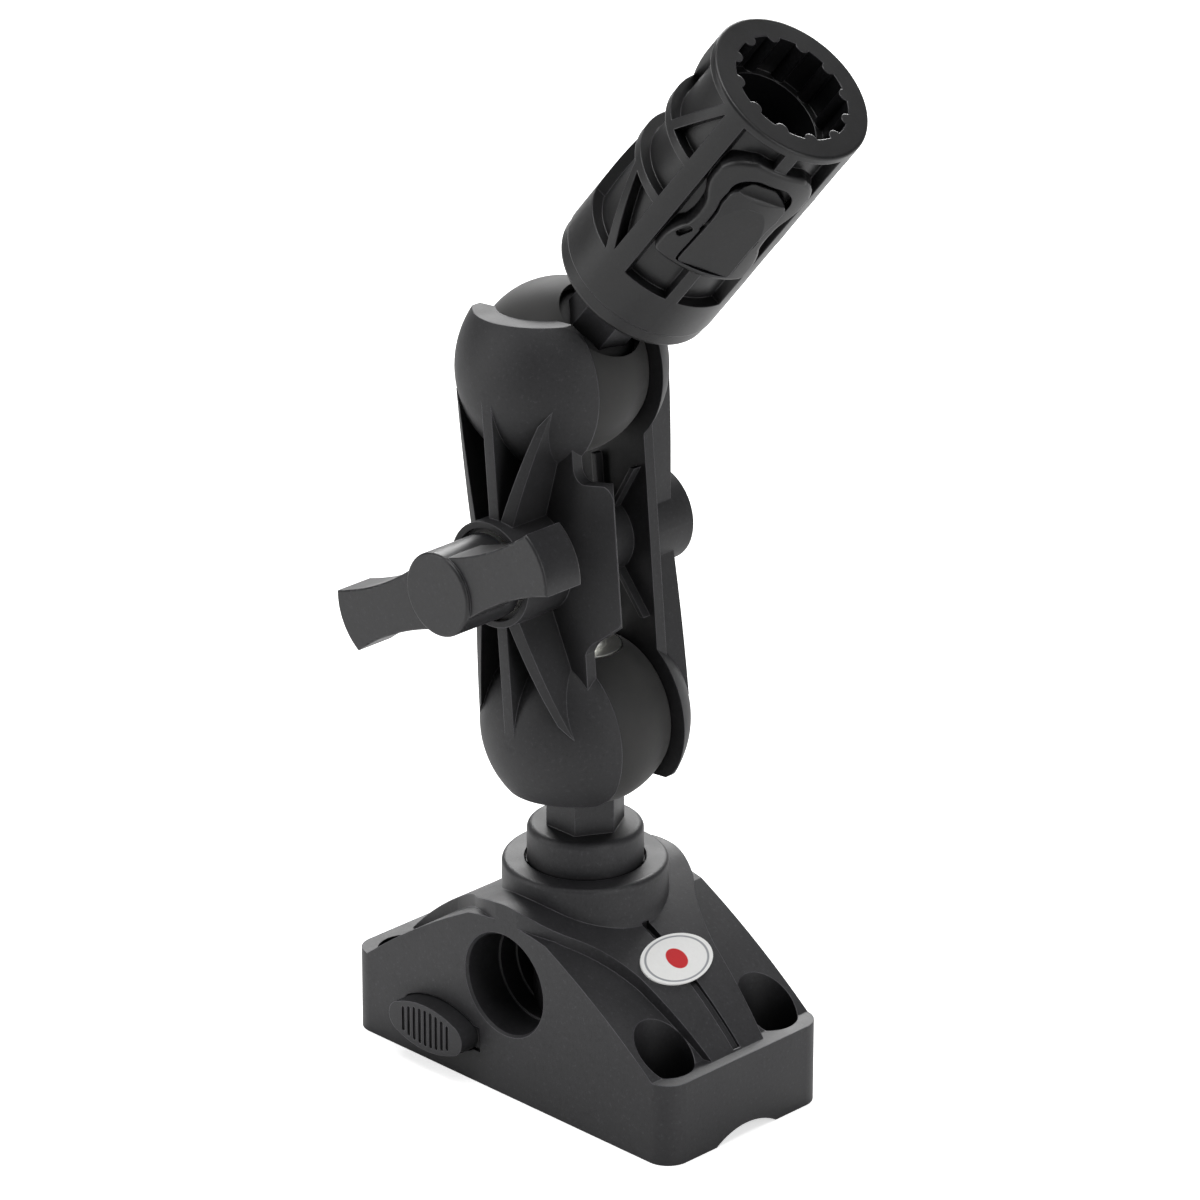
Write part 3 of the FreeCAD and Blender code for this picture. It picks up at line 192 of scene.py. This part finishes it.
def ball_rubber(name):
    """Dusty matte rubber: soft sheen at the rim, pale scuffs and chalky specks."""
    shader = Shader(name)
    tone = 0.021
    cloud = shader.noise(70.0, 5.0, 0.6)
    dust = shader.noise(1 / (1.1 * MM), 4.0, 0.75)
    chalk = shader.math("MULTIPLY", shader.remap(dust, 0.62, 0.78), shader.remap(cloud, 0.5, 0.7))
    colour = shader.mix(shader.remap(cloud, 0.3, 0.75), grey(tone), grey(tone * 1.7, 0.03))
    colour = shader.mix(shader.math("MULTIPLY", chalk, 0.35), colour, grey(0.16, 0.02))
    normal = shader.bump(dust, 0.25, 0.06 * MM)
    return shader.finish(Base_Color=colour, Roughness=shader.remap(cloud, 0.3, 0.7, 0.58, 0.72),
                         Normal=normal, Sheen_Weight=0.35, Sheen_Roughness=0.4,
                         Sheen_Tint=grey(0.5), Specular_IOR_Level=0.4)


def turned_metal(name, colour, roughness):
    """Turned or stamped metal with fine scratches."""
    shader = Shader(name)
    scratch = shader.noise(500.0, 3.0, 0.6, shader.stretched(8.0, 0.6, 1.0))
    blotch = shader.noise(260.0, 2.0)
    rough = shader.remap(blotch, 0.3, 0.7, roughness - 0.06, roughness + 0.08)
    normal = shader.bump(scratch, 0.15, 0.03 * MM)
    return shader.finish(Base_Color=colour, Metallic=1.0, Roughness=rough, Normal=normal)


def badge_print(name):
    """A plain glossy oval label: off-white ground, a thin grey border and one solid red dot."""
    shader = Shader(name)
    low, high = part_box("badge")
    middle = (low + high) / 2
    half_wide = (high.y - low.y) / 2
    half_long = math.hypot(high.x - low.x, high.z - low.z) / 2
    slope = math.atan2(high.z - low.z, high.x - low.x)
    shift = shader.add("ShaderNodeVectorMath", operation="SUBTRACT")
    shader.join(shader.place, shift.inputs[0])
    shift.inputs[1].default_value = middle
    turn = shader.add("ShaderNodeVectorRotate", rotation_type="Y_AXIS")
    shader.join(shift.outputs[0], turn.inputs["Vector"])
    turn.inputs["Angle"].default_value = -slope
    axes = shader.add("ShaderNodeSeparateXYZ")
    shader.join(turn.outputs[0], axes.inputs[0])

    def reach(along, across):
        a = shader.math("DIVIDE", axes.outputs["X"], along)
        b = shader.math("DIVIDE", axes.outputs["Y"], across)
        return shader.math("SQRT", shader.math("ADD", shader.math("MULTIPLY", a, a),
                                               shader.math("MULTIPLY", b, b)))

    oval = reach(half_long, half_wide)
    dot = reach(half_long * 0.42, half_long * 0.42)
    border = shader.math("MULTIPLY", shader.remap(oval, 0.82, 0.84), shader.remap(oval, 0.9, 0.88))
    fibre = shader.noise(1200.0, 2.0)
    ground = shader.mix(fibre, (0.88, 0.88, 0.87, 1), (0.94, 0.94, 0.93, 1))
    printed = shader.mix(border, ground, (0.35, 0.36, 0.38, 1))
    printed = shader.mix(shader.remap(dot, 1.03, 0.97), printed, (0.62, 0.03, 0.035, 1))
    return shader.finish(Base_Color=printed, Roughness=0.22, Coat_Weight=0.4, Coat_Roughness=0.1,
                         Normal=shader.bump(fibre, 0.05, 0.02 * MM))


def make_materials():
    return {
        "black_nylon": moulded_plastic("black_nylon", 0.020, 0.50, 0.35 * MM, 0.05 * MM, 0.12, 0.6),
        "arm_nylon": moulded_plastic("arm_nylon", 0.0150, 0.56, 0.45 * MM, 0.04 * MM, 0.16, 0.75),
        "satin_nylon": moulded_plastic("satin_nylon", 0.0065, 0.38, 0.5 * MM, 0.02 * MM, 0.1, 1.0),
        "knob_nylon": moulded_plastic("knob_nylon", 0.014, 0.40, 0.5 * MM, 0.02 * MM, 0.1, 0.85),
        "ball_rubber": ball_rubber("ball_rubber"),
        "stainless": turned_metal("stainless", (0.92, 0.92, 0.88, 1), 0.42),
        "brass": turned_metal("brass", (0.72, 0.52, 0.24, 1), 0.32),
        "badge_print": badge_print("badge_print"),
    }


def paint(materials):
    """Gives every CAD node the finish of its material slot in the record, and the knob a greyer one."""
    for part in frame["record"]["subparts"]:
        finish = "knob_nylon" if part["node"] == "knob" else part["material_slot"]
        node = nodes[part["node"]]
        node.data.materials.clear()
        node.data.materials.append(materials[finish])


# ---------------------------------------------------------------- studio


def make_floor():
    bpy.ops.mesh.primitive_plane_add(size=40.0, location=(0, 0, cad_low.z - 0.05 * MM))
    floor = bpy.context.object
    floor.name = "floor"
    shader = Shader("pale_floor")
    tone = shader.noise(3.0, 2.0)
    colour = shader.mix(tone, (0.90, 0.90, 0.90, 1), (0.93, 0.93, 0.93, 1))
    # the floor glows for the camera only, so that it reads as a lit white sweep
    seen = shader.add("ShaderNodeLightPath").outputs["Is Camera Ray"]
    glow = shader.math("MULTIPLY", seen, 0.62)
    floor.data.materials.append(shader.finish(Base_Color=colour, Roughness=0.9,
                                              Emission_Color=(1, 1, 1, 1),
                                              Emission_Strength=glow))


def area_light(name, power, wide, high, place, target):
    light = bpy.data.lights.new(name, "AREA")
    light.shape = "RECTANGLE"
    light.size, light.size_y = wide, high
    light.energy = power
    lamp = bpy.data.objects.new(name, light)
    scene.collection.objects.link(lamp)
    lamp.location = place
    lamp.rotation_euler = (Vector(target) - Vector(place)).to_track_quat("-Z", "Y").to_euler()


ROOM_LIGHT = 0.22


def make_lights():
    middle = (cad_low + cad_high) / 2
    world = bpy.data.worlds.new("studio")
    world.use_nodes = True
    tree = world.node_tree
    backdrop = tree.nodes["Background"]
    # pure white where the camera sees it, a dim room for everything the object reflects
    ray = tree.nodes.new("ShaderNodeLightPath")
    strength = tree.nodes.new("ShaderNodeMapRange")
    strength.inputs["To Min"].default_value = ROOM_LIGHT
    strength.inputs["To Max"].default_value = 1.0
    tree.links.new(ray.outputs["Is Camera Ray"], strength.inputs["Value"])
    tree.links.new(strength.outputs["Result"], backdrop.inputs["Strength"])
    backdrop.inputs["Color"].default_value = (1.0, 1.0, 1.0, 1)
    scene.world = world
    area_light("overhead", 11.0, 0.9, 0.9, (0.1, -0.1, 1.5), middle)
    area_light("left", 7.0, 0.5, 1.3, (-0.9, -1.1, 0.7), middle)
    area_light("right", 6.0, 0.5, 1.3, (1.4, -0.1, 0.6), middle)
    area_light("behind", 22.0, 1.3, 0.5, (-0.9, 1.0, 0.85), middle)


def make_camera():
    """Camera at the product-shot angle: long lens, aimed at a point on the post axis."""
    aim = Vector((0, 0, 0.110))
    azimuth, elevation, distance = math.radians(45.07), math.radians(23.67), 1.593
    back = Vector((math.sin(azimuth) * math.cos(elevation),
                   -math.cos(azimuth) * math.cos(elevation), math.sin(elevation)))
    data = bpy.data.cameras.new("camera")
    data.lens = 203.1
    data.sensor_width = 36.0
    data.shift_x, data.shift_y = 0.0122, 0.0360
    camera = bpy.data.objects.new("camera", data)
    scene.collection.objects.link(camera)
    camera.location = aim + back * distance
    camera.rotation_euler = (-back).to_track_quat("-Z", "Y").to_euler()
    scene.camera = camera


# ---------------------------------------------------------------- the whole picture

paint(make_materials())
make_floor()
make_lights()
make_camera()
